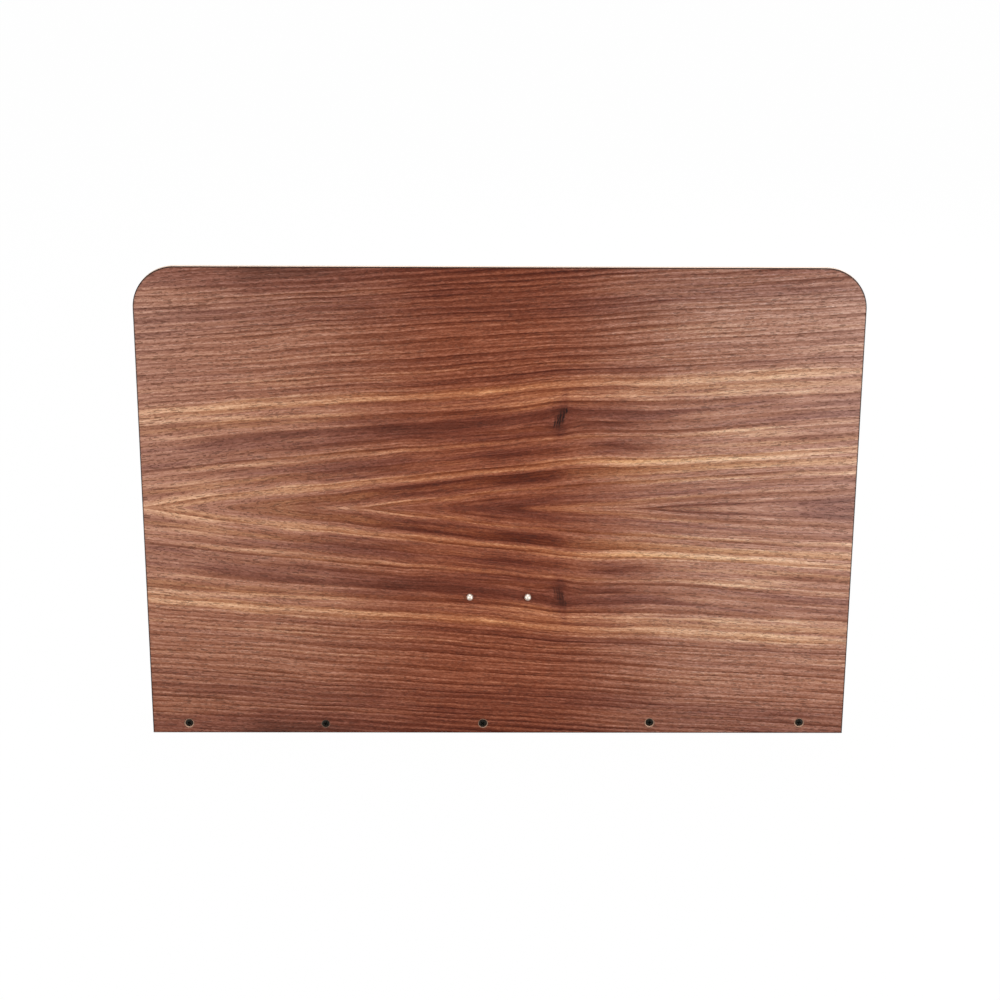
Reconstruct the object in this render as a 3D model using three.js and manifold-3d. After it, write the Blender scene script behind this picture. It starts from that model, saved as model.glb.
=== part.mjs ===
// A wooden desk for a music stand: a thin plywood panel faced with walnut veneer on both sides,
// with rounded top corners, a walnut ledge held along the foot of its front by five countersunk
// wood screws, and two nickel studs through the panel for the stand's bracket.
//
// Millimetres. +Z runs up the panel. +Y points to the front, where the music rests. +X is to the
// right for a person behind the desk. The origin is on the panel's rear face, midway between the
// two studs.

import * as THREE from 'three';
import { mergeVertices } from 'three/addons/utils/BufferGeometryUtils.js';
import Module from 'manifold-3d';

const wasm = await Module();
wasm.setup();

// ---- Driving dimensions ----

// Panel
const PANEL_WIDTH = 500;
const PANEL_HEIGHT = 345;
const CORNER_RADIUS = 29; // the two top corners; the bottom ones are square
const STUD_HEIGHT = 106; // the studs' height above the panel's foot

// Ply stack, from the rear face to the front face
const VENEER = 0.625;
const CROSSBAND = 0.75;
const CORE = 1.25;

// Ledge along the foot of the front face
const SHELF_DEPTH = 46;
const SHELF_THICKNESS = 15;
const LIP_THICKNESS = 6;
const LIP_RISE = 9; // how far the lip stands above the shelf
const LIP_CORNER_RADIUS = 8;
const LIP_EDGE_RADIUS = 2; // along the top of the lip, front and back

// Wood screws, 3 mm by 20 mm with a 90 degree countersunk head
const SCREW_LENGTH = 20;
const SCREW_RADIUS = 1.5;
const SCREW_HEAD_RADIUS = 2.75;
const SCREW_HEAD_RIM = 0.2;
const SCREW_POINT = 4; // length of the tapered point
const RECESS_SPAN = 3.1; // cross recess, tip to tip
const RECESS_ARM = 0.9;
const RECESS_DEPTH = 1.1;
const SCREW_CLEARANCE = 0.3; // radial, in the panel and in the ledge
const PILOT_RUN_OUT = 1.5; // how far the pilot hole goes past the screw's point

// Studs with a domed end behind the panel and a countersunk head flush with the front
const STUD_SPACING = 41.2;
const STUD_RADIUS = 2.3;
const STUD_STAND = 3.2; // from the rear face to the top of the dome
const STUD_DOME = 1.5; // the dome's own height
const STUD_HEAD_RADIUS = 3.8;
const STUD_HEAD_RIM = 0.25;
const STUD_CLEARANCE = 0.15;

// The screws were drilled by eye, so each has its own place. foot is the height above the panel's
// foot, mouth the countersink's radius at the face, shiftX and shiftZ how far the countersink is
// off the screw's axis, and turn the angle at which the screw stopped, in degrees.
const LEDGE_SCREWS = [
  { x: -223.8, foot: 7.5, mouth: 3.7, shiftX: 0, shiftZ: 0, turn: 12 },
  { x: -125.0, foot: 7.2, mouth: 3.15, shiftX: 0, shiftZ: 0, turn: 38 },
  { x: -11.3, foot: 7.4, mouth: 3.65, shiftX: 0.3, shiftZ: 0.2, turn: 64 },
  { x: 109.8, foot: 8.2, mouth: 3.75, shiftX: 0, shiftZ: 0, turn: 25 },
  { x: 218.4, foot: 8.4, mouth: 3.7, shiftX: 0.1, shiftZ: -0.1, turn: 81 },
];

// Facets
const CORNER_STEPS = 8; // ExtrudeGeometry draws an arc with twice this many sides
const ROUND_SIDES = 24;
const DOME_STEPS = 4;

// ---- Places worked out from them ----

const FOOT = -STUD_HEIGHT;
const TOP = FOOT + PANEL_HEIGHT;
const SEAM = FOOT + PANEL_HEIGHT / 2; // where the veneer leaves meet
const SIDE = PANEL_WIDTH / 2;

const REAR_FACE = 0;
const REAR_GLUE_LINE = REAR_FACE + VENEER;
const CORE_REAR = REAR_GLUE_LINE + CROSSBAND;
const CORE_FRONT = CORE_REAR + CORE;
const FRONT_GLUE_LINE = CORE_FRONT + CROSSBAND;
const FRONT_FACE = FRONT_GLUE_LINE + VENEER;

const SHELF_FRONT = FRONT_FACE + SHELF_DEPTH;
const SHELF_TOP = FOOT + SHELF_THICKNESS;
const LIP_FRONT = SHELF_FRONT + LIP_THICKNESS;
const LIP_TOP = SHELF_TOP + LIP_RISE;

const CUT_OVERRUN = 1; // how far a cutting tool reaches past the face it cuts

// ---- Materials ----

const veneerFinish = () => finish(0x96644a, 0.42, 0);
const crossbandFinish = () => finish(0xc49a72, 0.8, 0);
const coreFinish = () => finish(0xd9bd96, 0.85, 0);
const solidWalnutFinish = () => finish(0x7a4d36, 0.5, 0);
const blackScrewFinish = () => finish(0x23211f, 0.45, 0.6);
const nickelFinish = () => finish(0xd8d2c8, 0.2, 1);

function finish(color, roughness, metalness) {
  return new THREE.MeshStandardMaterial({ color, roughness, metalness });
}

// ---- Solids ----

// A closed solid from one of three's geometries, without the slivers of no area that a lathe
// leaves where its profile meets the axis.
function solidFrom(geometry) {
  geometry.deleteAttribute('normal');
  geometry.deleteAttribute('uv');
  const merged = mergeVertices(geometry);
  const index = merged.getIndex().array;
  const corners = [];
  for (let i = 0; i < index.length; i += 3) {
    const [a, b, c] = [index[i], index[i + 1], index[i + 2]];
    if (a !== b && b !== c && c !== a) {
      corners.push(a, b, c);
    }
  }
  return new wasm.Manifold(new wasm.Mesh({
    numProp: 3,
    vertProperties: new Float32Array(merged.getAttribute('position').array),
    triVerts: new Uint32Array(corners),
  }));
}

function meshFrom(name, solid, material) {
  const shape = solid.getMesh();
  const geometry = new THREE.BufferGeometry();
  geometry.setAttribute('position', new THREE.BufferAttribute(shape.vertProperties, 3));
  geometry.setIndex(new THREE.BufferAttribute(shape.triVerts, 1));
  geometry.computeVertexNormals();
  const mesh = new THREE.Mesh(geometry, material);
  mesh.name = name;
  return mesh;
}

// An outline in X and Z made into a plate that fills the depths from rear to front.
function plate(outline, rear, front) {
  const geometry = new THREE.ExtrudeGeometry(outline, {
    depth: front - rear,
    bevelEnabled: false,
    curveSegments: CORNER_STEPS,
  });
  geometry.rotateX(Math.PI / 2);
  geometry.translate(0, front, 0);
  return solidFrom(geometry);
}

// A profile of [radius, depth] points turned about an axis parallel to Y through (x, z).
function turned(profile, x = 0, z = 0) {
  const points = profile.map(([radius, depth]) => new THREE.Vector2(radius, depth));
  const geometry = new THREE.LatheGeometry(points, ROUND_SIDES);
  geometry.translate(x, 0, z);
  return solidFrom(geometry);
}

// A rectangle from low to high with its two top corners rounded.
function roundedTop(left, right, low, high, radius) {
  const outline = new THREE.Shape();
  outline.moveTo(left, low);
  outline.lineTo(right, low);
  outline.lineTo(right, high - radius);
  outline.absarc(right - radius, high - radius, radius, 0, Math.PI / 2, false);
  outline.lineTo(left + radius, high);
  outline.absarc(left + radius, high - radius, radius, Math.PI / 2, Math.PI, false);
  outline.closePath();
  return outline;
}

function rectangle(left, right, low, high) {
  const outline = new THREE.Shape();
  outline.moveTo(left, low);
  outline.lineTo(right, low);
  outline.lineTo(right, high);
  outline.lineTo(left, high);
  outline.closePath();
  return outline;
}

// ---- Wood screws ----

// The head sits down in its countersink until the cones meet, less the clearance.
function headDepth(screw) {
  const seated = screw.mouth - SCREW_HEAD_RADIUS - SCREW_CLEARANCE;
  const offCentre = Math.hypot(screw.shiftX, screw.shiftZ);
  return REAR_FACE + Math.max(0, seated - offCentre);
}

function recessOutline() {
  const tip = RECESS_SPAN / 2;
  const arm = RECESS_ARM / 2;
  const outline = new THREE.Shape();
  outline.moveTo(tip, arm);
  for (let quarter = 0; quarter < 4; quarter += 1) {
    const angle = quarter * Math.PI / 2;
    const corners = [[arm, arm], [arm, tip], [-arm, tip]];
    for (const [across, up] of corners) {
      outline.lineTo(
        across * Math.cos(angle) - up * Math.sin(angle),
        across * Math.sin(angle) + up * Math.cos(angle),
      );
    }
  }
  return outline;
}

// A screw about the Y axis, with the top of its head at the origin.
function woodScrew() {
  const cone = SCREW_HEAD_RADIUS - SCREW_RADIUS;
  const body = turned([
    [0, 0],
    [SCREW_HEAD_RADIUS, 0],
    [SCREW_HEAD_RADIUS, SCREW_HEAD_RIM],
    [SCREW_RADIUS, SCREW_HEAD_RIM + cone],
    [SCREW_RADIUS, SCREW_LENGTH - SCREW_POINT],
    [0, SCREW_LENGTH],
  ]);
  return body.subtract(plate(recessOutline(), -CUT_OVERRUN, RECESS_DEPTH));
}

// What the drill and the countersink bit remove for one screw.
function screwHole(screw) {
  const z = FOOT + screw.foot;
  const hole = SCREW_RADIUS + SCREW_CLEARANCE;
  const end = headDepth(screw) + SCREW_LENGTH + PILOT_RUN_OUT;
  const shaft = turned([
    [0, REAR_FACE - CUT_OVERRUN],
    [hole, REAR_FACE - CUT_OVERRUN],
    [hole, end],
    [0, end],
  ], screw.x, z);
  const countersink = turned([
    [0, REAR_FACE - CUT_OVERRUN],
    [screw.mouth + CUT_OVERRUN, REAR_FACE - CUT_OVERRUN],
    [0, REAR_FACE + screw.mouth],
  ], screw.x + screw.shiftX, z + screw.shiftZ);
  return shaft.add(countersink);
}

// ---- Bracket studs ----

// The domed end, from its crown on the axis to the edge of the stud, as an arc of a sphere.
function domeProfile() {
  const sphere = (STUD_RADIUS ** 2 + STUD_DOME ** 2) / (2 * STUD_DOME);
  const halfAngle = Math.asin(STUD_RADIUS / sphere);
  const centre = -STUD_STAND + sphere;
  const points = [];
  for (let step = 0; step < DOME_STEPS; step += 1) {
    const angle = halfAngle * step / DOME_STEPS;
    points.push([sphere * Math.sin(angle), centre - sphere * Math.cos(angle)]);
  }
  return points;
}

function bracketStud() {
  const cone = STUD_HEAD_RADIUS - STUD_RADIUS;
  return turned([
    ...domeProfile(),
    [STUD_RADIUS, STUD_DOME - STUD_STAND],
    [STUD_RADIUS, FRONT_FACE - STUD_HEAD_RIM - cone],
    [STUD_HEAD_RADIUS, FRONT_FACE - STUD_HEAD_RIM],
    [STUD_HEAD_RADIUS, FRONT_FACE],
    [0, FRONT_FACE],
  ]);
}

function studHole(x) {
  const hole = STUD_RADIUS + STUD_CLEARANCE;
  const mouth = STUD_HEAD_RADIUS + STUD_CLEARANCE;
  const shoulder = FRONT_FACE - STUD_HEAD_RIM - STUD_CLEARANCE;
  return turned([
    [0, REAR_FACE - CUT_OVERRUN],
    [hole, REAR_FACE - CUT_OVERRUN],
    [hole, shoulder - (mouth - hole)],
    [mouth, shoulder],
    [mouth, FRONT_FACE + CUT_OVERRUN],
    [0, FRONT_FACE + CUT_OVERRUN],
  ], x);
}

// ---- Panel plies ----

const studPlaces = { bracket_stud_left: -STUD_SPACING / 2, bracket_stud_right: STUD_SPACING / 2 };
const panelHoles = [
  ...LEDGE_SCREWS.map(screwHole),
  ...Object.values(studPlaces).map(studHole),
];

function drilled(solid) {
  return panelHoles.reduce((wood, hole) => wood.subtract(hole), solid);
}

function fullPly(rear, front) {
  return drilled(plate(roundedTop(-SIDE, SIDE, FOOT, TOP, CORNER_RADIUS), rear, front));
}

function upperLeaf(rear, front) {
  return plate(roundedTop(-SIDE, SIDE, SEAM, TOP, CORNER_RADIUS), rear, front);
}

function lowerLeaf(rear, front) {
  return drilled(plate(rectangle(-SIDE, SIDE, FOOT, SEAM), rear, front));
}

// ---- Ledge ----

function ledgeShelf() {
  return drilled(plate(rectangle(-SIDE, SIDE, FOOT, SHELF_TOP), FRONT_FACE, SHELF_FRONT));
}

// The lip's outline from the front, met by its section from the end, so that its top corners and
// its top edges are both rounded.
function ledgeLip() {
  const front = plate(
    roundedTop(-SIDE, SIDE, FOOT, LIP_TOP, LIP_CORNER_RADIUS), SHELF_FRONT, LIP_FRONT,
  );
  const section = new THREE.ExtrudeGeometry(
    roundedTop(SHELF_FRONT, LIP_FRONT, FOOT, LIP_TOP, LIP_EDGE_RADIUS),
    { depth: PANEL_WIDTH, bevelEnabled: false, curveSegments: DOME_STEPS },
  );
  // The section is drawn as (depth, height) and runs along X.
  section.applyMatrix4(new THREE.Matrix4().makeBasis(
    new THREE.Vector3(0, 1, 0), new THREE.Vector3(0, 0, 1), new THREE.Vector3(1, 0, 0),
  ));
  section.translate(-SIDE, 0, 0);
  return front.intersect(solidFrom(section));
}

// ---- Assembly ----

const desk = new THREE.Group();
desk.name = 'music_stand_desk';

function add(name, solid, material) {
  const mesh = meshFrom(name, solid, material);
  desk.add(mesh);
  return mesh;
}

add('rear_veneer_upper', upperLeaf(REAR_FACE, REAR_GLUE_LINE), veneerFinish());
add('rear_veneer_lower', lowerLeaf(REAR_FACE, REAR_GLUE_LINE), veneerFinish());
add('rear_crossband', fullPly(REAR_GLUE_LINE, CORE_REAR), crossbandFinish());
add('core_ply', fullPly(CORE_REAR, CORE_FRONT), coreFinish());
add('front_crossband', fullPly(CORE_FRONT, FRONT_GLUE_LINE), crossbandFinish());
add('front_veneer_upper', upperLeaf(FRONT_GLUE_LINE, FRONT_FACE), veneerFinish());
add('front_veneer_lower', lowerLeaf(FRONT_GLUE_LINE, FRONT_FACE), veneerFinish());
add('ledge_shelf', ledgeShelf(), solidWalnutFinish());
add('ledge_lip', ledgeLip(), solidWalnutFinish());

LEDGE_SCREWS.forEach((screw, i) => {
  const mesh = add(`ledge_screw_${i + 1}`, woodScrew(), blackScrewFinish());
  mesh.position.set(screw.x, headDepth(screw), FOOT + screw.foot);
  mesh.rotation.y = THREE.MathUtils.degToRad(screw.turn);
});

for (const [name, x] of Object.entries(studPlaces)) {
  add(name, bracketStud(), nickelFinish()).position.x = x;
}

export default desk;
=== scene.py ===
"""The looks of a walnut-faced music-stand desk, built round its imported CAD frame.

Metres. +Z is up the panel, +Y is the front where the music rests, and the camera looks at the
rear face from behind and a little above. Every size comes from the frame's own nodes, apart from
fine details, which are named below in millimetres.
"""

import math

import bmesh
import bpy
from mathutils import Matrix, Vector


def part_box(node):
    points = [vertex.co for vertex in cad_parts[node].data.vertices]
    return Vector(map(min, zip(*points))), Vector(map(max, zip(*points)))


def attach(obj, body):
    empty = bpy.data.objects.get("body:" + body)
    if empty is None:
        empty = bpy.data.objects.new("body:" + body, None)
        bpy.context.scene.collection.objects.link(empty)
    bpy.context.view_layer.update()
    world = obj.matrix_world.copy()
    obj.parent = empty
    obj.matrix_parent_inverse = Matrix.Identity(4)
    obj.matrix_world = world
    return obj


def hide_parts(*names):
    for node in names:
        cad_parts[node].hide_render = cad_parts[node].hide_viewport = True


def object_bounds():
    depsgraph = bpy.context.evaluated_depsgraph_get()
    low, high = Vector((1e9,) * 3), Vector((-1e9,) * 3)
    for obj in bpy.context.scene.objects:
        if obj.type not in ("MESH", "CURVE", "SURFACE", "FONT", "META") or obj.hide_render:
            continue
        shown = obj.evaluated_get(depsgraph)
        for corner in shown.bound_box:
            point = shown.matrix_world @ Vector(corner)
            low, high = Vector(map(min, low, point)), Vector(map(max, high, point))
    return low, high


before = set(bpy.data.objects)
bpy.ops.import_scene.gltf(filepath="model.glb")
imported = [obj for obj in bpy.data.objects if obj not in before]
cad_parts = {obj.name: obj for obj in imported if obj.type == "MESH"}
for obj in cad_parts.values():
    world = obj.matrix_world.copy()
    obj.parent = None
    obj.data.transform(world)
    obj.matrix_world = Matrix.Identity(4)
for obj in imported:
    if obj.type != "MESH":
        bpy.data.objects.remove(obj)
cad_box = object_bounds()

MM = 0.001
TOUCH = 0.01 * MM  # two places closer than this are the same place

# ---- Details finer than the CAD, in millimetres ----

VENEER_ARRIS = 0.55  # rounding of the panel's outer edges
LEDGE_ARRIS = 1.0
SCREW_PITCH = 1.35
SCREW_CORE = 0.68  # core radius as a share of the thread's
SCREW_HEAD_CHAMFER = 0.18
RECESS_WIDTH = 0.85
RECESS_TAPER = 0.72  # size of the recess at its floor, as a share of its mouth
STUD_NECK = 0.2  # fine groove where the dome starts

ROUND = 72  # sides of a round piece
CORNER_SIDES = 24
SCREW_SIDES = 40
SCREW_STEPS = 10  # rings of the thread in each turn
DOME_STEPS = 14
CUT_OVERRUN = 1.0  # how far a cutter stands clear of what it cuts

# ---- Names and places, from the frame ----

SCREWS = tuple(f"ledge_screw_{i}" for i in range(1, 6))
STUDS = ("bracket_stud_left", "bracket_stud_right")


def points_of(node):
    return [vertex.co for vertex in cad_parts[node].data.vertices]


core_low, core_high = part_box("core_ply")
FOOT, TOP, SIDE = core_low.z, core_high.z, core_high.x
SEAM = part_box("rear_veneer_upper")[0].z
REAR_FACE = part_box("rear_veneer_upper")[0].y
FRONT_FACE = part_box("front_veneer_upper")[1].y
CORNER_RADIUS = SIDE - max(p.x for p in points_of("core_ply") if p.z > TOP - TOUCH)


def round_edge(node, near, reach, depth):
    """Centre (x, z) and radius of the round edge that a CAD node has at a depth, near a place."""
    edge = [
        p for p in points_of(node)
        if abs(p.y - depth) < TOUCH and math.hypot(p.x - near.x, p.z - near.z) < reach
    ]
    left, right = min(p.x for p in edge), max(p.x for p in edge)
    low, high = min(p.z for p in edge), max(p.z for p in edge)
    return (left + right) / 2, (low + high) / 2, (right - left) / 2


def axis_of(node):
    """The middle of a node, which is on its axis if it is round."""
    low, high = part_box(node)
    return (low + high) / 2


# ---- Mesh tools ----

def mesh_piece(name, bm, materials):
    """A piece made from a bmesh, with its materials."""
    bmesh.ops.recalc_face_normals(bm, faces=bm.faces[:])
    mesh = bpy.data.meshes.new(name)
    bm.to_mesh(mesh)
    bm.free()
    piece = bpy.data.objects.new(name, mesh)
    bpy.context.scene.collection.objects.link(piece)
    for material in materials:
        mesh.materials.append(material)
    return piece


def smooth_shading(piece, sharp_angle=32):
    """Shades the piece smooth, apart from edges sharper than the angle in degrees."""
    piece.data.polygons.foreach_set("use_smooth", [True] * len(piece.data.polygons))
    piece.data.set_sharp_from_angle(angle=math.radians(sharp_angle))


def turned(profile, x=0.0, z=0.0, sides=ROUND, material_index=0):
    """A profile of (radius, depth) points, from axis to axis, turned about a line along Y."""
    bm = bmesh.new()
    rings = []
    for radius, depth in profile:
        if radius < TOUCH:
            rings.append([bm.verts.new((x, depth, z))])
            continue
        turn = 2 * math.pi / sides
        rings.append([
            bm.verts.new((x + radius * math.sin(i * turn), depth, z + radius * math.cos(i * turn)))
            for i in range(sides)
        ])
    for one, other in zip(rings, rings[1:]):
        for i in range(sides):
            j = (i + 1) % sides
            corners = [
                one[i % len(one)], one[j % len(one)], other[j % len(other)], other[i % len(other)],
            ]
            face = bm.faces.new(list(dict.fromkeys(corners)))
            face.material_index = material_index
    bmesh.ops.recalc_face_normals(bm, faces=bm.faces[:])
    return bm


def joined(parts):
    """Several bmeshes as one."""
    whole = bmesh.new()
    for part in parts:
        scratch = bpy.data.meshes.new("scratch")
        part.to_mesh(scratch)
        part.free()
        whole.from_mesh(scratch)
        bpy.data.meshes.remove(scratch)
    return whole


def cut(piece, cutter_bm):
    """Takes the cutter's shape out of the piece. The walls it leaves keep the cutter's material."""
    cutter_mesh = bpy.data.meshes.new("cutter")
    cutter_bm.to_mesh(cutter_mesh)
    cutter_bm.free()
    for material in piece.data.materials:
        cutter_mesh.materials.append(material)
    cutter = bpy.data.objects.new("cutter", cutter_mesh)
    bpy.context.scene.collection.objects.link(cutter)
    modifier = piece.modifiers.new("cut", "BOOLEAN")
    modifier.operation = "DIFFERENCE"
    modifier.solver = "MANIFOLD"
    modifier.object = cutter
    graph = bpy.context.evaluated_depsgraph_get()
    result = bpy.data.meshes.new_from_object(piece.evaluated_get(graph), depsgraph=graph)
    piece.modifiers.clear()
    old = piece.data
    result.name = piece.name
    piece.data = result
    bpy.data.meshes.remove(old)
    bpy.data.objects.remove(cutter)
    bpy.data.meshes.remove(cutter_mesh)


def weld(piece):
    """Merges the doubled points that two cuts leave where their edges meet."""
    bm = bmesh.new()
    bm.from_mesh(piece.data)
    bmesh.ops.remove_doubles(bm, verts=bm.verts[:], dist=TOUCH)
    bm.to_mesh(piece.data)
    bm.free()


def arc(centre_x, centre_z, radius, start, end, sides):
    return [
        (centre_x + radius * math.cos(start + (end - start) * i / sides),
         centre_z + radius * math.sin(start + (end - start) * i / sides))
        for i in range(sides + 1)
    ]


def round_topped(side, low, high, radius):
    """The outline of a board, from its foot's left corner, with round top corners if it has any."""
    foot = [(-side, low), (side, low)]
    if radius == 0:
        return foot + [(side, high), (-side, high)]
    quarter = math.pi / 2
    return (
        foot
        + arc(side - radius, high - radius, radius, 0, quarter, CORNER_SIDES)
        + arc(radius - side, high - radius, radius, quarter, 2 * quarter, CORNER_SIDES)
    )


def slab(outline, rear, front):
    """An outline in X and Z filled from one depth to another."""
    bm = bmesh.new()
    rear_ring = [bm.verts.new((x, rear, z)) for x, z in outline]
    front_ring = [bm.verts.new((x, front, z)) for x, z in outline]
    bm.faces.new(rear_ring)
    bm.faces.new(list(reversed(front_ring)))
    for i in range(len(outline)):
        j = (i + 1) % len(outline)
        bm.faces.new((rear_ring[i], front_ring[i], front_ring[j], rear_ring[j]))
    bmesh.ops.recalc_face_normals(bm, faces=bm.faces[:])
    return bm


def ease(bm, chosen, radius, steps=3):
    """Rounds the edges for which chosen(one end, other end) is true."""
    edges = [e for e in bm.edges if chosen(e.verts[0].co, e.verts[1].co)]
    bmesh.ops.bevel(
        bm, geom=edges, offset=radius, segments=steps, profile=0.5, affect="EDGES",
        clamp_overlap=True,
    )


# ---- Shader tools ----

class Value:
    """A shader socket that works like a number: each operation adds a Math node to its tree."""

    def __init__(self, tree, socket):
        self.tree = tree
        self.socket = socket

    def math(self, operation, *others):
        return self.tree.node("ShaderNodeMath", self, *others, operation=operation)

    def __add__(self, other):
        return self.math("ADD", other)

    def __sub__(self, other):
        return self.math("SUBTRACT", other)

    def __rsub__(self, other):
        return self.tree.node("ShaderNodeMath", other, self, operation="SUBTRACT")

    def __mul__(self, other):
        return self.math("MULTIPLY", other)

    def __truediv__(self, other):
        return self.math("DIVIDE", other)

    def __neg__(self):
        return self * -1.0

    def __abs__(self):
        return self.math("ABSOLUTE")

    __radd__ = __add__
    __rmul__ = __mul__


class Tree:
    """A material's nodes."""

    def __init__(self, name):
        self.material = bpy.data.materials.new(name)
        self.material.use_nodes = True
        self.nodes = self.material.node_tree.nodes
        self.links = self.material.node_tree.links
        self.nodes.clear()

    def node(self, kind, *inputs, out=0, named=None, **settings):
        """Adds a node, sets its inputs in order, and others by name, and returns one output."""
        node = self.nodes.new(kind)
        for key, value in settings.items():
            setattr(node, key, value)
        for key, value in {**dict(enumerate(inputs)), **(named or {})}.items():
            if isinstance(value, Value):
                self.links.new(value.socket, node.inputs[key])
            else:
                node.inputs[key].default_value = value
        return Value(self, node.outputs[out])

    def place(self):
        """The surface point's X, Y and Z in the frame, in millimetres."""
        metres = self.node("ShaderNodeTexCoord", out="Object")
        separate = self.node("ShaderNodeSeparateXYZ", metres)
        outputs = separate.socket.node.outputs
        return [Value(self, outputs[axis]) * (1 / MM) for axis in "XYZ"]

    def vector(self, x, y, z=0.0):
        return self.node("ShaderNodeCombineXYZ", x, y, z)

    def noise(self, x, y, seed, detail=2.0, roughness=0.5):
        """Soft noise from 0 to 1, over coordinates that are already scaled."""
        return self.node(
            "ShaderNodeTexNoise", named={
                "Vector": self.vector(x, y, seed * 7.31), "Scale": 1.0, "Detail": detail,
                "Roughness": roughness,
            },
        )

    def grain(self, x, y, seed, detail=0.0, roughness=0.5):
        """Soft noise either side of 0."""
        return self.noise(x, y, seed, detail, roughness) - 0.5

    def chance(self, x, y):
        """A random number from 0 to 1 for each pair of whole numbers."""
        return self.node("ShaderNodeTexWhiteNoise", self.vector(x, y), noise_dimensions="2D")

    def smooth(self, value, low, high):
        """0 below low and 1 above high, with a soft step between."""
        return self.node(
            "ShaderNodeMapRange", value, low, high, 0.0, 1.0, interpolation_type="SMOOTHSTEP",
        )

    def bell(self, value, centre, width):
        """1 at the centre, falling away on both sides."""
        offset = (value - centre) / width
        return (offset * offset * -1.0).math("EXPONENT")

    def mix(self, share, one, other, how="MIX"):
        return self.node(
            "ShaderNodeMix", out=2, named={0: share, 6: one, 7: other}, data_type="RGBA",
            blend_type=how,
        )

    def curve(self, value, stops):
        """A number at given values, in a smooth run."""
        greys = [(at, (level, level, level, 1.0)) for at, level in stops]
        return self.ramp(value, greys)

    def ramp(self, value, stops):
        """Colours at given values, in a smooth run."""
        low, high = stops[0][0], stops[-1][0]
        colour = self.node("ShaderNodeValToRGB", (value - low) / (high - low))
        elements = colour.socket.node.color_ramp.elements
        colour.socket.node.color_ramp.interpolation = "EASE"
        while len(elements) < len(stops):
            elements.new(0.5)
        for element, (at, rgba) in zip(elements, stops):
            element.position = (at - low) / (high - low)
        for element, (at, rgba) in zip(elements, stops):
            element.color = rgba
        return colour

    def surface(self, colour, roughness, height=None, bump_mm=0.0, **others):
        """The finished surface. height runs from 0 to 1 and is bump_mm millimetres high."""
        named = {"Base Color": colour, "Roughness": roughness}
        named.update({key.replace("_", " "): value for key, value in others.items()})
        if height is not None:
            named["Normal"] = self.node(
                "ShaderNodeBump", named={"Height": height, "Distance": bump_mm * MM, "Strength": 1.0},
            )
        shader = self.node("ShaderNodeBsdfPrincipled", named=named)
        self.output(shader)
        return self.material

    def output(self, shader):
        target = self.nodes.new("ShaderNodeOutputMaterial")
        self.links.new(shader.socket, target.inputs["Surface"])


def rgb(red, green, blue):
    """A colour given as it is seen on screen, from 0 to 255, as linear light."""
    def linear(level):
        share = level / 255
        return share / 12.92 if share <= 0.04045 else ((share + 0.055) / 1.055) ** 2.4
    return (linear(red), linear(green), linear(blue), 1.0)


# ---- Walnut veneer ----
#
# A place on a leaf has three measures, in millimetres: along the panel, height from the seam, and
# ring, which is its place across the growth rings. Lines of equal ring are the grain lines.
# The figure has two parts: a broad tone, from 0 (darkest) to 1 (palest), which sets the colour of
# bands and stains, and a fine grain either side of 0, which darkens or lightens it.

# Colours of the broad tone.
TONES = [
    (-0.1, rgb(70, 28, 16)),
    (0.25, rgb(109, 53, 36)),
    (0.5, rgb(138, 76, 52)),
    (0.75, rgb(170, 105, 71)),
    (1.1, rgb(199, 133, 88)),
]
GRAIN_GAINS = (2.05, 3.10, 3.85)  # how steeply red, green and blue follow the fine grain
# Broad tone at each ring.
RING_TONES = [
    (-30, 0.55), (-4, 0.46), (4, 0.24), (8, 0.42), (12, 0.72), (16, 0.44), (20, 0.62), (24, 0.40),
    (28, 0.74), (32, 0.44), (36, 0.62), (40, 0.47), (47, 0.62), (52, 0.38), (58, 0.43), (64, 0.33),
    (69, 0.49), (77, 0.61), (81, 0.60), (85, 0.70), (89, 0.58), (92, 0.50), (95, 0.40), (98, 0.50),
    (102, 0.57), (109, 0.43), (117, 0.50), (132, 0.47), (140, 0.37), (152, 0.36), (190, 0.35),
]
# Stains and pale flares: along, how far each way, ring, how far each way, change of tone.
PATCHES = [
    (-40, 75, 65, 4.5, -0.30),
    (-50, 80, 58, 3.5, -0.18),
    (75, 30, 23, 4.0, 0.16),
    (95, 50, 62, 4.0, -0.26),
    (-112, 42, 39, 4.5, -0.34),
    (2, 34, 39, 6.0, -0.40),
    (-55, 30, 21, 4.0, -0.30),
    (20, 26, 20, 4.5, -0.32),
    (-10, 60, 2, 5.0, -0.12),
    (80, 24, 36, 3.5, -0.30),
    (245, 34, -12, 7.0, -0.24),
    (-160, 80, 178, 9.0, -0.34),
    (-225, 45, 168, 14.0, 0.12),
    (150, 100, 24, 7.0, 0.34),
    (-20, 60, 86, 4.0, 0.18),
    (110, 75, 2, 9.0, 0.16),
    (215, 60, 6, 5.0, 0.18),
    (-225, 55, 36, 6.0, 0.12),
]
INNER_WOOD = (70.0, 105.0)  # growth lines are wide and soft up to the first ring, close from the second
# Spacing of the growth lines, in rings: in the outer wood, in the inner wood, and faint ones.
YEAR = 4.2
INNER_YEAR = 7.5
FAINT_YEAR = 2.1
SOLID_YEAR = 4.0  # in the ledge's solid wood, in millimetres

# Painted sheen: the two ends are painted lighter and less red, on top of the side lamps' own sheen.
# Where each starts to pale and where it is palest, then its gain in red, green and blue.
LEFT_END = (-25.0, -175.0)
RIGHT_END = (20.0, 165.0)
PAINTED_SHEEN_LEFT = (1.42, 2.10, 2.65)
PAINTED_SHEEN_RIGHT = (1.42, 2.32, 3.20)
# Heights over which the ends' painted sheen grows towards the top and fades towards the foot, and how
# much.
TOP_SHEEN = (90.0, 150.0, 0.3)
FOOT_SHEEN = (-100.0, -150.0, 0.22)

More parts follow.
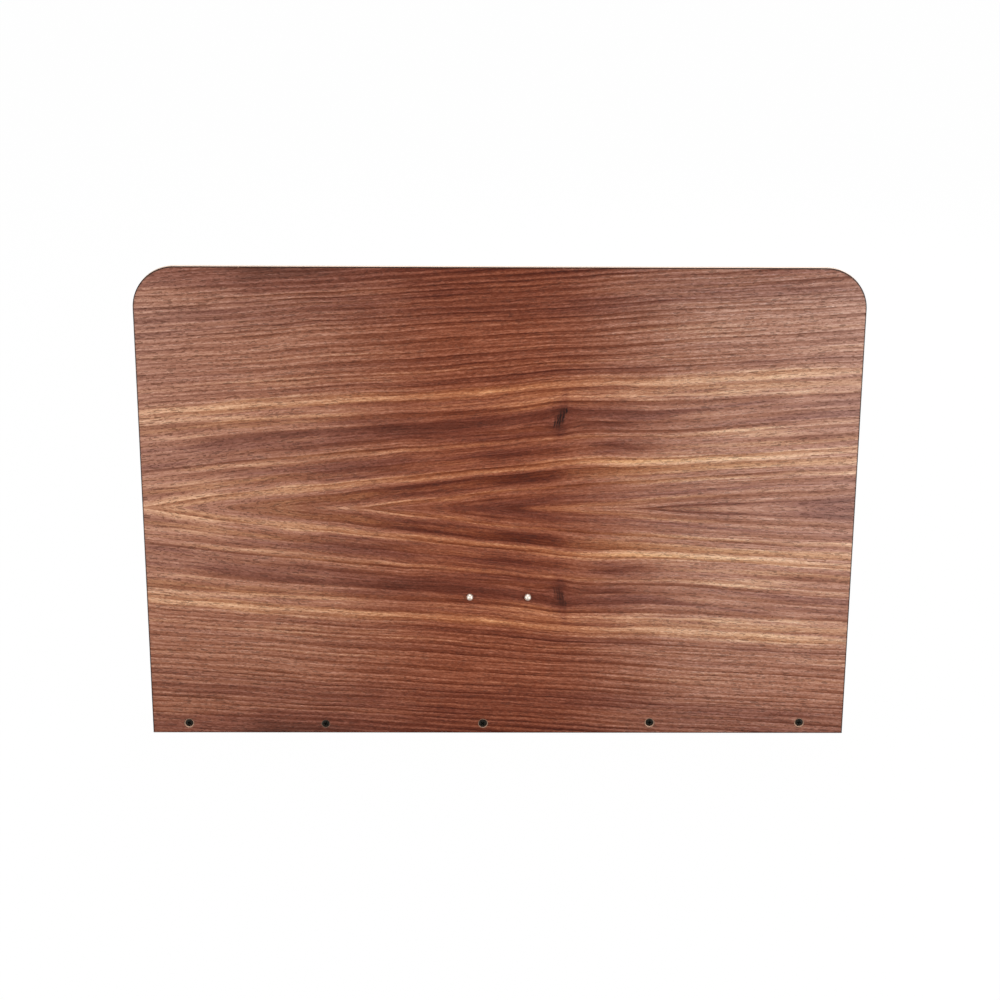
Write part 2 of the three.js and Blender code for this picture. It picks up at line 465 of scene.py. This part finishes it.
PORE_COLOUR = rgb(36, 16, 9)
EDGE_COLOUR = rgb(30, 19, 16)
DARK_OUTLINE_BAND = (0.4, 1.25)  # dark within the first distance of the outline, clear beyond the second
LOWER_LEAF_SLIP = 1.3  # how far the lower leaf was laid from an exact mirror image

KNOT_COLOUR = rgb(30, 12, 8)
KNOT_ALONG = 42.0
KNOT_HEIGHT = 65.0
# Strokes of the pin knot: offset along, half-length across the grain, offset in height.
KNOT_STROKES = [
    (-3.6, 2.6, -3.0), (-1.7, 4.2, -1.0), (-0.2, 5.4, 0.5), (1.9, 4.5, 3.0), (3.4, 2.2, 6.5),
]
KNOT_STROKE_WIDTH = 0.5
LOWER_KNOT = 0.5  # strength of the strokes on the lower leaf


def ring_place(tree, along, height, seed):
    """The ring at a place: rings rise to the right, faster near the seam, and bend past the knot."""
    near_seam = (height / -45.0).math("EXPONENT")
    to_knot = along.math("SMOOTH_MIN", 45.0, 40.0)
    rise = along * 0.06 + near_seam * to_knot * 0.055
    shoulder = tree.bell(along, 55.0, 45.0) * tree.smooth(height, 15.0, 50.0)
    rise = rise + shoulder * (1.0 - tree.smooth(height, 82.0, 118.0)) * 3.0
    slow = tree.grain(along / 90.0, height / 45.0, seed, detail=2.0) * 5.0
    quick = tree.grain(along / 24.0, height / 8.0, seed + 1, detail=2.0) * 1.1
    ring = height - rise + slow + quick
    beside = tree.bell(along, KNOT_ALONG, 12.0) * tree.bell(height, KNOT_HEIGHT, 9.0)
    return ring - (height - KNOT_HEIGHT) * beside * 0.55


def growth_lines(tree, along, ring, seed, spacing):
    """Dark lines at the end of each year's growth: slow to darken, sudden to stop."""
    years = ring / spacing + tree.grain(ring / 14.0, along / 700.0, seed) * 2.0
    year = years.math("FLOOR")
    part = years - year
    line = tree.smooth(part, 0.25, 0.9) * (1.0 - tree.smooth(part, 0.9, 1.0))
    swell = tree.grain(along / 60.0, year * 3.7, seed + 1) * 1.3
    strength = 0.45 + swell + tree.chance(year, seed) * 0.4
    return line * strength


def pores(tree, along, ring, seed, length, width, share):
    """Open pores: dark dashes along the grain, in rows that each start at a different place."""
    wander = tree.grain(along / 11.0, ring / 3.0, seed) * 2.5
    across = ring / width + wander
    row = across.math("FLOOR")
    place = along / length + tree.chance(row, seed) * 37.0
    cell = place.math("FLOOR")
    chance = tree.chance(row + seed, cell)
    reach = (chance - (1.0 - share)).math("MAXIMUM", 0.0) * (0.46 / share)
    from_middle = abs(place - cell - 0.5)
    inside = 1.0 - tree.smooth(from_middle / (reach + 0.001), 0.7, 1.0)
    edge = 1.0 - tree.smooth(abs(across - row - 0.5), 0.18, 0.48)
    return inside * edge


def knot_marks(tree, along, height, seed):
    """The pin knot's dark strokes, which lean across the grain, and the smoke round them."""
    slant = (height - KNOT_HEIGHT) * 0.12
    wander = tree.grain(along / 4.0, height / 3.0, seed, detail=3.0) * 2.4
    strokes = None
    for offset, reach, lift in KNOT_STROKES:
        middle = along - slant + wander
        across = tree.bell(middle, KNOT_ALONG + offset, KNOT_STROKE_WIDTH)
        stroke = across * tree.bell(height, KNOT_HEIGHT + lift, reach)
        strokes = stroke if strokes is None else strokes.math("MAXIMUM", stroke)
    halo = tree.bell(along - slant, KNOT_ALONG, 5.5) * tree.bell(height, KNOT_HEIGHT, 11.0)
    trail = tree.bell(along - slant, KNOT_ALONG + 1.0, 2.2) * tree.bell(height, KNOT_HEIGHT, 32.0)
    return (strokes * 1.4).math("MINIMUM", 1.0), halo * 0.22 + trail * 0.10


def from_outline(tree, x, z):
    """How far a place on the panel's face is from its outline, in millimetres."""
    radius = CORNER_RADIUS / MM
    side = abs(x) - (SIDE / MM - radius)
    top = z - (TOP / MM - radius)
    beyond_side, beyond_top = side.math("MAXIMUM", 0.0), top.math("MAXIMUM", 0.0)
    in_corner = (beyond_side * beyond_side + beyond_top * beyond_top).math("SQRT")
    inside = side.math("MAXIMUM", top).math("MINIMUM", 0.0)
    return (radius - in_corner - inside).math("MINIMUM", z - FOOT / MM)


def broad_tone(tree, along, ring, inner, seed):
    """The tone of the bands, stains and flares."""
    drift = tree.grain(along / 70.0, ring / 9.0, seed, detail=2.0) * 3.2
    tone = tree.curve(ring + drift, RING_TONES)
    ragged = tree.grain(along / 30.0, ring / 3.0, seed + 1, detail=3.0)
    ragged_along, ragged_ring = along + ragged * 60.0, ring + ragged * 5.0
    for at, reach, across, spread, change in PATCHES:
        mark = tree.bell(ragged_along, at, reach) * tree.bell(ragged_ring, across, spread)
        tone = tone + mark * change
    tone = tone + tree.grain(along / 110.0, ring / 6.0, seed + 4) * (0.15 + inner * 0.25)
    return tone + tree.grain(along / 55.0, ring / 2.6, seed + 5, detail=1.0) * (0.3 + inner * 0.2)


def fine_grain(tree, along, ring, inner, seed):
    """Growth lines, streaks and fibres, either side of 0."""
    years = growth_lines(tree, along, ring, seed + 2, YEAR)
    inner_years = growth_lines(tree, along, ring, seed + 10, INNER_YEAR)
    faint_years = growth_lines(tree, along, ring, seed + 12, FAINT_YEAR)
    streaks = tree.grain(along / 22.0, ring / 1.0, seed + 6, detail=1.0)
    fibres = tree.grain(along / 2.6, ring / 0.55, seed + 7, detail=2.0, roughness=0.6)
    fine = 0.07 - years * (1.0 - inner * 0.9) * 0.44 - inner_years * inner * 0.42
    fine = fine - faint_years * (0.18 - inner * 0.08)
    return fine + streaks * 0.45 + fibres * (0.9 - inner * 0.2)


def grain_and_painted_sheen(tree, colour, fine, tone, along, above):
    """The colour with its fine grain, and a painted sheen that pales it towards the ends. Golden wood
    pales least.
    """
    left, right = tree.smooth(along, *LEFT_END), tree.smooth(along, *RIGHT_END)
    start, end, more = TOP_SHEEN
    sheen_strength = 1.0 + tree.smooth(above, start, end) * more
    start, end, less = FOOT_SHEEN
    sheen_strength = sheen_strength - tree.smooth(above, start, end) * less + (0.56 - tone) * 0.5
    # Under the painted sheen the fine grain shows less at the ends.
    fine = fine * (1.0 - (left + right) * 0.27)
    gains = [
        (fine * steepness).math("EXPONENT")
        * (1.0 + (left * (at_left - 1.0) + right * (at_right - 1.0)) * sheen_strength)
        for steepness, at_left, at_right in zip(GRAIN_GAINS, PAINTED_SHEEN_LEFT, PAINTED_SHEEN_RIGHT)
    ]
    return tree.mix(1.0, colour, tree.vector(*gains), how="MULTIPLY"), left + right


def veneer_face(name, seed, mirror=1.0, shift=0.0):
    """The lacquered face of a pair of bookmatched leaves."""
    tree = Tree(name)
    x, _, z = tree.place()
    above = z - SEAM / MM
    lower = 1.0 - tree.smooth(above, -0.01, 0.01)
    along = x * mirror + shift - lower * LOWER_LEAF_SLIP
    height = abs(above)
    ring = ring_place(tree, along, height, seed)
    inner = 1.0 - tree.smooth(ring, *INNER_WOOD)

    strokes, smoke = knot_marks(tree, along, height, seed + 11)
    tone = broad_tone(tree, along, ring, inner, seed + 3) - smoke
    fine = fine_grain(tree, along, ring, inner, seed + 3)
    colour, ends = grain_and_painted_sheen(tree, tree.ramp(tone, TONES), fine, tone, along, above)

    long_pores = pores(tree, along, ring, seed + 20, 9.0, 0.7, 0.3)
    short_pores = pores(tree, along, ring, seed + 21, 4.0, 0.6, 0.3)
    pore = long_pores.math("MAXIMUM", short_pores * 0.9)
    # Pores are painted darker at the ends, to show through the painted sheen.
    colour = tree.mix(pore * (0.34 + ends * 0.18), colour, PORE_COLOUR)
    colour = tree.mix(strokes * (1.0 - lower * (1.0 - LOWER_KNOT)), colour, KNOT_COLOUR)

    # The face is darker along its outline.
    dark_outline = 1.0 - tree.smooth(from_outline(tree, x, z), *DARK_OUTLINE_BAND)
    colour = tree.mix(dark_outline * 0.7, colour, EDGE_COLOUR)

    roughness = 0.42 + pore * 0.25 - tone * 0.05
    return tree.surface(colour, roughness, 1.0 - pore, 0.03, Specular_IOR_Level=0.2)


def raw_edge(name, pale, dark, seed, end_grain):
    """The sawn edge of a ply: end grain is speckled, long grain is streaked."""
    tree = Tree(name)
    x, y, z = tree.place()
    around = x + z
    if end_grain:
        speckle = tree.noise(around / 0.35, y / 0.3, seed, detail=3.0)
    else:
        speckle = tree.noise(around / 14.0, y / 0.12, seed, detail=3.0)
    patches = tree.noise(around / 30.0, y / 2.0, seed + 1)
    share = tree.smooth(speckle * 0.7 + patches * 0.3, 0.35, 0.68)
    colour = tree.mix(share, pale, dark)
    return tree.surface(colour, 0.7 + share * 0.15, speckle, 0.06)


def stained_edge(name, seed):
    """The veneer's own edge, dark with finish, with a few pale chips."""
    tree = Tree(name)
    x, y, z = tree.place()
    around = x - z
    fibres = tree.noise(around / 1.2, y / 0.2, seed, detail=3.0)
    colour = tree.mix(fibres, rgb(24, 15, 12), rgb(54, 34, 27))
    chips = tree.smooth(tree.noise(around / 2.5, y / 0.8, seed + 1, detail=2.0), 0.70, 0.74)
    colour = tree.mix(chips * 0.8, colour, rgb(190, 160, 138))
    return tree.surface(colour, 0.5 + fibres * 0.2, fibres, 0.04, Specular_IOR_Level=0.2)


FINISH_DEPTH = (0.12, 0.32)  # how deep the dark finish reaches down a cut, at full and at its end
SHADOW_DEPTH = (0.8, 1.0)  # where painted shadow darkens a cut by the screw, from start to full


def cut_wood(name, seed):
    """Raw wood where the countersink bit cut, dark at the finish's edge, with painted shadow down by
    the screw.
    """
    tree = Tree(name)
    x, y, z = tree.place()
    fibres = tree.noise(x / 1.4, z / 0.25 + y / 0.25, seed, detail=3.0)
    colour = tree.mix(fibres, rgb(138, 100, 80), rgb(196, 156, 130))
    depth = y - REAR_FACE / MM
    rim = 1.0 - tree.smooth(depth, *FINISH_DEPTH)
    # Painted shadow: the cut is darkened deep down, where the screw head shades it.
    painted_shadow = tree.smooth(depth, *SHADOW_DEPTH)
    colour = tree.mix((rim * 0.8).math("MAXIMUM", painted_shadow), colour, rgb(40, 25, 20))
    return tree.surface(colour, 0.8, fibres, 0.05)


def solid_walnut(name, pale, dark, seed):
    """Solid straight-grained walnut, with its grain along X and its rings bending through it."""
    tree = Tree(name)
    x, y, z = tree.place()
    wander = (tree.noise(x / 120.0, z / 20.0, seed) - 0.5) * 5.0
    ring = y * 0.8 + z * 1.1 + x * 0.02 + wander
    lines = growth_lines(tree, x, ring, seed + 1, SOLID_YEAR)
    broad = tree.noise(x / 130.0, ring / 3.0, seed + 2, detail=3.0)
    fine = tree.noise(x / 40.0, ring / 0.5, seed + 3, detail=3.0, roughness=0.6)
    colour = tree.mix(tree.smooth(broad, 0.3, 0.7), dark, pale)
    shade = 1.0 - lines * 0.4 + (fine - 0.5) * 0.4
    colour = tree.mix(1.0, colour, tree.vector(shade, shade, shade), how="MULTIPLY")
    pore = pores(tree, x, ring, seed + 4, 7.0, 0.6, 0.55)
    colour = tree.mix(pore * 0.5, colour, PORE_COLOUR)
    relief = fine * 0.25 + (1.0 - pore) * 0.75
    return tree.surface(colour, 0.44 + pore * 0.2, relief, 0.05)


def black_steel(name, seed):
    """Black-oxide steel, slightly mottled."""
    tree = Tree(name)
    x, y, z = tree.place()
    grain = tree.noise(x / 0.35, z / 0.35 + y / 0.35, seed, detail=4.0)
    colour = tree.mix(grain, rgb(10, 8, 5), rgb(36, 31, 22))
    return tree.surface(colour, 0.4 + grain * 0.25, grain, 0.02, Specular_IOR_Level=0.2)


def polished_nickel(name, seed):
    """Nickel plate with a faint haze and fine upright scratches."""
    tree = Tree(name)
    x, y, z = tree.place()
    haze = tree.noise(x / 1.1, z / 1.1 + y / 0.9, seed, detail=4.0)
    scratches = tree.noise(x / 0.06, z / 2.5, seed + 1, detail=2.0)
    colour = tree.mix(haze, rgb(234, 220, 206), rgb(250, 240, 228))
    roughness = 0.42 + haze * 0.12 + scratches * 0.06
    return tree.surface(colour, roughness, scratches, 0.003, Metallic=0.85)


# ---- Holes in the panel and the shelf ----

def screw_hole(node):
    """What the drill and the countersink bit took out for one screw, as one lathe shape each."""
    axis = axis_of(node)
    sink_x, sink_z, mouth = round_edge("rear_veneer_lower", axis, 6 * MM, REAR_FACE)
    core_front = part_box("core_ply")[1].y
    hole_x, hole_z, hole = round_edge("core_ply", axis, 3 * MM, core_front)
    end = max(
        p.y for p in points_of("ledge_shelf")
        if math.hypot(p.x - hole_x, p.z - hole_z) < 3 * MM
    )
    over = CUT_OVERRUN * MM
    drill = turned(
        [(0, REAR_FACE - over), (hole, REAR_FACE - over), (hole, end), (0, end)],
        hole_x, hole_z, material_index=1,
    )
    sink = turned(
        [(0, REAR_FACE - over), (mouth + over, REAR_FACE - over), (0, REAR_FACE + mouth)],
        sink_x, sink_z, material_index=1,
    )
    return drill, sink


def stud_hole(node):
    """The hole for a stud, with its countersink in the front face."""
    axis = axis_of(node)
    x, z, hole = round_edge("rear_veneer_lower", axis, 6 * MM, REAR_FACE)
    _, _, mouth = round_edge("front_veneer_lower", axis, 6 * MM, FRONT_FACE)
    shoulder = max(
        p.y for p in points_of("front_veneer_lower")
        if p.y < FRONT_FACE - TOUCH
        and abs(math.hypot(p.x - x, p.z - z) - mouth) < 2 * TOUCH
    )
    over = CUT_OVERRUN * MM
    return turned([
        (0, REAR_FACE - over), (hole, REAR_FACE - over), (hole, shoulder - (mouth - hole)),
        (mouth, shoulder), (mouth, FRONT_FACE + over), (0, FRONT_FACE + over),
    ], x, z, material_index=1)


def drill_panel(piece):
    """Cuts the screw and stud holes. Drill and countersink overlap, so they cut one by one."""
    holes = [screw_hole(node) for node in SCREWS]
    cut(piece, joined([drill for drill, _ in holes]))
    cut(piece, joined([sink for _, sink in holes]))
    cut(piece, joined([stud_hole(node) for node in STUDS]))
    weld(piece)


# ---- Panel ----

def veneer_leaf(node, materials):
    """A leaf of face veneer, with its outer arris eased and stained."""
    low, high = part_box(node)
    radius = CORNER_RADIUS if high.z > TOP - TOUCH else 0
    bm = slab(round_topped(SIDE, low.z, high.z, radius), low.y, high.y)
    face_depth = REAR_FACE if low.y < REAR_FACE + TOUCH else FRONT_FACE

    def outer_edge(a, b):
        on_face = abs(a.y - face_depth) < TOUCH and abs(b.y - face_depth) < TOUCH
        on_seam = abs(a.z - SEAM) < TOUCH and abs(b.z - SEAM) < TOUCH
        return on_face and not on_seam

    ease(bm, outer_edge, VENEER_ARRIS * MM)
    for face in bm.faces:
        flat = abs(abs(face.normal.y) - 1) < 1e-4
        face.material_index = 0 if flat else 2
    piece = mesh_piece(node + "_leaf", bm, materials)
    if high.z < TOP - TOUCH:
        drill_panel(piece)
    return piece


def ply(node, materials):
    """One of the inner plies, with its sawn edge showing all round."""
    low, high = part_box(node)
    bm = slab(round_topped(SIDE, FOOT, TOP, CORNER_RADIUS), low.y, high.y)
    piece = mesh_piece(node + "_sheet", bm, materials)
    drill_panel(piece)
    return piece


# ---- Ledge ----

def shelf(material):
    """The board that the sheets stand on, eased where it shows and drilled for its screws."""
    low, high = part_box("ledge_shelf")
    bm = slab([(low.x, low.z), (high.x, low.z), (high.x, high.z), (low.x, high.z)], low.y, high.y)

    def showing(a, b):
        along_end = abs(a.x - b.x) < TOUCH and abs(a.y - b.y) > TOUCH
        upright_end = abs(a.z - b.z) > TOUCH and abs(a.y - b.y) < TOUCH and a.y < low.y
        return along_end or upright_end

    ease(bm, showing, LEDGE_ARRIS * MM)
    piece = mesh_piece("ledge_shelf_board", bm, [material, material])
    cut(piece, joined([screw_hole(node)[0] for node in SCREWS]))
    return piece


def lip(material):
    """The strip along the shelf's front, rounded over along its top and round its ends."""
    low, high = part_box("ledge_lip")
    shelf_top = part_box("ledge_shelf")[1].z
    crest = [p for p in points_of("ledge_lip") if p.z > high.z - TOUCH]
    corner = high.x - max(p.x for p in crest)
    edge = min(p.y for p in crest) - low.y
    bm = slab(round_topped(high.x, low.z, high.z, corner), low.y, high.y)

    def showing(a, b):
        above_shelf = min(a.z, b.z) > shelf_top
        same_depth = abs(a.y - b.y) < TOUCH
        at_foot = max(a.z, b.z) < low.z + TOUCH
        on_front = a.y > high.y - TOUCH
        return same_depth and (above_shelf or (on_front and not at_foot))

    ease(bm, showing, edge, steps=6)
    return mesh_piece("ledge_lip_strip", bm, [material])


# ---- Fasteners ----

def recess_cutter(span, depth):
    """A cross that narrows towards its floor, and stands clear above the head."""
    over = CUT_OVERRUN * MM
    slope = (1 - RECESS_TAPER) / depth
    arm, half = span / 2, RECESS_WIDTH * MM / 2
    quarter = [(arm, -half), (arm, half), (half, half)]
    outline = []
    for turn in range(4):
        cos, sin = math.cos(turn * math.pi / 2), math.sin(turn * math.pi / 2)
        outline += [(a * cos - b * sin, a * sin + b * cos) for a, b in quarter]
    bm = slab(outline, -over, depth)
    for vertex in bm.verts:
        size = 1 - slope * vertex.co.y
        vertex.co.x *= size
        vertex.co.z *= size
    return bm


def threaded_body(length, head_radius, rim, radius):
    """A countersunk wood screw along +Y with the top of its head at the origin."""
    sides, steps_per_turn = SCREW_SIDES, SCREW_STEPS
    pitch = SCREW_PITCH * MM
    chamfer = SCREW_HEAD_CHAMFER * MM
    core = radius * SCREW_CORE
    neck = rim + head_radius - core
    thread_start = neck + pitch
    taper_start = length - 4 * radius

    def thread_radius(depth, turn):
        crest = abs(((depth / pitch - turn) % 1.0) - 0.5) * 2
        ridge = max(0.0, 1 - crest * 2.2)
        grow = min(1.0, max(0.0, (depth - thread_start) / pitch))
        taper = min(1.0, (length - depth) / (length - taper_start))
        return (core + (radius - core) * ridge * grow) * taper

    bm = bmesh.new()
    rings = []
    for r, depth in ((head_radius - chamfer, 0.0), (head_radius, chamfer * 0.6),
                     (head_radius, rim), (core, neck)):
        rings.append([(r, depth)] * sides)
    steps = int((length - neck) / pitch * steps_per_turn)
    for step in range(1, steps):
        depth = neck + (length - neck) * step / steps
        rings.append([(thread_radius(depth, i / sides), depth) for i in range(sides)])
    made = []
    for ring in rings:
        made.append([
            bm.verts.new((r * math.sin(2 * math.pi * i / sides), depth,
                          r * math.cos(2 * math.pi * i / sides)))
            for i, (r, depth) in enumerate(ring)
        ])
    for one, other in zip(made, made[1:]):
        for i in range(sides):
            j = (i + 1) % sides
            bm.faces.new((one[i], other[i], other[j], one[j]))
    bm.faces.new(made[0])
    tip = bm.verts.new((0, length, 0))
    for i in range(sides):
        bm.faces.new((made[-1][(i + 1) % sides], made[-1][i], tip))
    bmesh.ops.recalc_face_normals(bm, faces=bm.faces[:])
    return bm


def ledge_screw(node, material):
    """A screw where the CAD has it, turned as the CAD's recess is turned."""
    low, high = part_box(node)
    centre = axis_of(node)
    local = [(p.x - centre.x, p.y - low.y, p.z - centre.z) for p in points_of(node)]
    head_radius = max(math.hypot(x, z) for x, _, z in local)
    rim = max(y for x, y, z in local if math.hypot(x, z) > head_radius - TOUCH)
    shank = [math.hypot(x, z) for x, y, z in local if y > 8 * MM and math.hypot(x, z) > TOUCH]
    floor = [(x, y, z) for x, y, z in local
             if TOUCH < y < head_radius and math.hypot(x, z) < head_radius * 0.7]
    recess_depth = max(y for x, y, z in floor if math.hypot(x, z) < min(shank) * 1.2)
    tip = max(floor, key=lambda p: math.hypot(p[0], p[2]))
    span = 2 * math.hypot(tip[0], tip[2])
    turn = math.atan2(tip[2], tip[0])
    bm = threaded_body(high.y - low.y, head_radius, rim, max(shank))
    piece = mesh_piece(node + "_threaded", bm, [material, material])
    cutter = recess_cutter(span, recess_depth)
    bmesh.ops.rotate(cutter, verts=cutter.verts[:], matrix=Matrix.Rotation(-turn, 3, "Y"))
    cut(piece, cutter)
    piece.data.transform(Matrix.Translation((centre.x, low.y, centre.z)))
    return piece


def bracket_stud(node, material):
    """A domed stud with a fine neck groove, and its head flush with the front face."""
    low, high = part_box(node)
    x, z = axis_of(node).x, axis_of(node).z
    profile_points = [(math.hypot(p.x - x, p.z - z), p.y) for p in points_of(node)]
    shank = max(r for r, y in profile_points if y < REAR_FACE)
    dome_end = min(y for r, y in profile_points if r > shank - TOUCH)
    head = max(r for r, y in profile_points)
    head_start = min(y for r, y in profile_points if r > head - TOUCH)
    dome = dome_end - low.y
    sphere = (shank ** 2 + dome ** 2) / (2 * dome)
    half_angle = math.asin(shank / sphere)
    angles = [half_angle * i / DOME_STEPS for i in range(DOME_STEPS + 1)]
    profile = [(sphere * math.sin(a), low.y + sphere * (1 - math.cos(a))) for a in angles]
    groove = STUD_NECK * MM
    profile += [
        (shank, dome_end + groove), (shank - groove / 2, dome_end + 1.5 * groove),
        (shank, dome_end + 2 * groove), (shank, head_start - (head - shank)),
        (head, head_start), (head, high.y - groove / 2), (head - groove / 2, high.y), (0, high.y),
    ]
    return mesh_piece(node + "_turned", turned(profile, x, z), [material])


# ---- Floor, lights and camera ----

FLOOR_SIZE = 30.0
FLOOR_GLOW = 0.99  # share of the floor that shows as plain white to the camera


def white_floor():
    bm = bmesh.new()
    bmesh.ops.create_grid(bm, x_segments=1, y_segments=1, size=FLOOR_SIZE / 2)
    mesh = bpy.data.meshes.new("floor")
    bm.to_mesh(mesh)
    bm.free()
    floor = bpy.data.objects.new("floor", mesh)
    floor.location.z = cad_box[0].z
    bpy.context.scene.collection.objects.link(floor)
    tree = Tree("white_floor")
    paint = tree.node("ShaderNodeBsdfDiffuse", (0.85, 0.85, 0.85, 1.0))
    glow = tree.node("ShaderNodeEmission", (1.0, 1.0, 1.0, 1.0), 1.0)
    seen = tree.node("ShaderNodeLightPath", out="Is Camera Ray") * FLOOR_GLOW
    tree.output(tree.node("ShaderNodeMixShader", seen, paint, glow))
    mesh.materials.append(tree.material)
    floor.visible_diffuse = False
    floor.visible_glossy = False
    floor.visible_shadow = False


def soft_world(strength):
    world = bpy.data.worlds.new("studio")
    bpy.context.scene.world = world
    world.use_nodes = True
    nodes, links = world.node_tree.nodes, world.node_tree.links
    nodes.clear()
    path = nodes.new("ShaderNodeLightPath")
    light = nodes.new("ShaderNodeBackground")
    light.inputs["Color"].default_value = (1.0, 1.0, 1.0, 1.0)
    light.inputs["Strength"].default_value = strength
    backdrop = nodes.new("ShaderNodeBackground")
    backdrop.inputs["Color"].default_value = (1.0, 1.0, 1.0, 1.0)
    mix = nodes.new("ShaderNodeMixShader")
    output = nodes.new("ShaderNodeOutputWorld")
    links.new(path.outputs["Is Camera Ray"], mix.inputs[0])
    links.new(light.outputs[0], mix.inputs[1])
    links.new(backdrop.outputs[0], mix.inputs[2])
    links.new(mix.outputs[0], output.inputs[0])


def softbox(name, place, width, height, power):
    """A rectangular lamp that faces the middle of the panel."""
    data = bpy.data.lights.new(name, "AREA")
    data.shape = "RECTANGLE"
    data.size, data.size_y = width, height
    data.energy = power
    lamp = bpy.data.objects.new(name, data)
    lamp.location = place
    aim = Vector((0, REAR_FACE, SEAM)) - lamp.location
    lamp.rotation_mode = "QUATERNION"
    lamp.rotation_quaternion = aim.to_track_quat("-Z", "Y")
    lamp.visible_camera = False
    bpy.context.scene.collection.objects.link(lamp)


def photo_camera():
    """A long lens behind the panel, raised, a touch to one side and a touch out of level."""
    elevation, azimuth, roll = (math.radians(a) for a in (18.75, 0.54, 0.284))
    distance = 1.563
    data = bpy.data.cameras.new("camera")
    data.sensor_width = 36.0
    data.lens = 80.3
    camera = bpy.data.objects.new("camera", data)
    aim = Vector((0.5 * MM, REAR_FACE, FOOT + 0.518 * (TOP - FOOT)))
    forward = Vector((
        math.sin(azimuth) * math.cos(elevation),
        math.cos(azimuth) * math.cos(elevation),
        -math.sin(elevation),
    ))
    right = Vector((math.cos(azimuth), -math.sin(azimuth), 0))
    up = right.cross(forward)
    turned_right = right * math.cos(roll) + up * math.sin(roll)
    turned_up = up * math.cos(roll) - right * math.sin(roll)
    camera.matrix_world = Matrix((
        (turned_right.x, turned_up.x, -forward.x, aim.x - forward.x * distance),
        (turned_right.y, turned_up.y, -forward.y, aim.y - forward.y * distance),
        (turned_right.z, turned_up.z, -forward.z, aim.z - forward.z * distance),
        (0, 0, 0, 1),
    ))
    bpy.context.scene.collection.objects.link(camera)
    bpy.context.scene.camera = camera


# ---- Build ----

def build_desk():
    edge_dark = stained_edge("stained_edge", seed=61)
    raw = cut_wood("cut_wood", seed=67)
    rear = [veneer_face("rear_figure", seed=1), raw, edge_dark]
    front = [veneer_face("front_figure", seed=31, mirror=-1.0, shift=20.0), raw, edge_dark]
    band = raw_edge("crossband_edge", rgb(222, 190, 168), rgb(172, 136, 114), 71, end_grain=True)
    core = raw_edge("core_edge", rgb(240, 222, 204), rgb(206, 180, 158), 73, end_grain=False)
    shelf_walnut = solid_walnut("shelf_walnut", rgb(162, 108, 80), rgb(112, 68, 50), seed=81)
    lip_walnut = solid_walnut("lip_walnut", rgb(174, 114, 80), rgb(122, 70, 48), seed=85)
    steel = black_steel("black_steel", seed=91)
    nickel = polished_nickel("polished_nickel", seed=95)

    made = {}
    for leaf in ("upper", "lower"):
        made[f"rear_veneer_{leaf}"] = veneer_leaf(f"rear_veneer_{leaf}", rear)
        made[f"front_veneer_{leaf}"] = veneer_leaf(f"front_veneer_{leaf}", front)
    made["rear_crossband"] = ply("rear_crossband", [band, raw])
    made["core_ply"] = ply("core_ply", [core, raw])
    made["front_crossband"] = ply("front_crossband", [band, raw])
    made["ledge_shelf"] = shelf(shelf_walnut)
    made["ledge_lip"] = lip(lip_walnut)
    for node in SCREWS:
        made[node] = ledge_screw(node, steel)
    for node in STUDS:
        made[node] = bracket_stud(node, nickel)
    for node, piece in made.items():
        smooth_shading(piece)
        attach(piece, "root")
        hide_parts(node)


build_desk()
white_floor()
soft_world(0.35)
softbox("left_softbox", (-0.58, -0.55, 0.02), 0.16, 0.5, 2.7)
softbox("right_softbox", (0.58, -0.55, 0.02), 0.16, 0.5, 3.6)
softbox("top_softbox", (0.0, -0.15, 1.5), 1.4, 0.8, 18)
softbox("front_softbox", (0.6, 1.6, 1.0), 1.2, 1.0, 22)
photo_camera()
bpy.context.scene.view_settings.view_transform = "Standard"
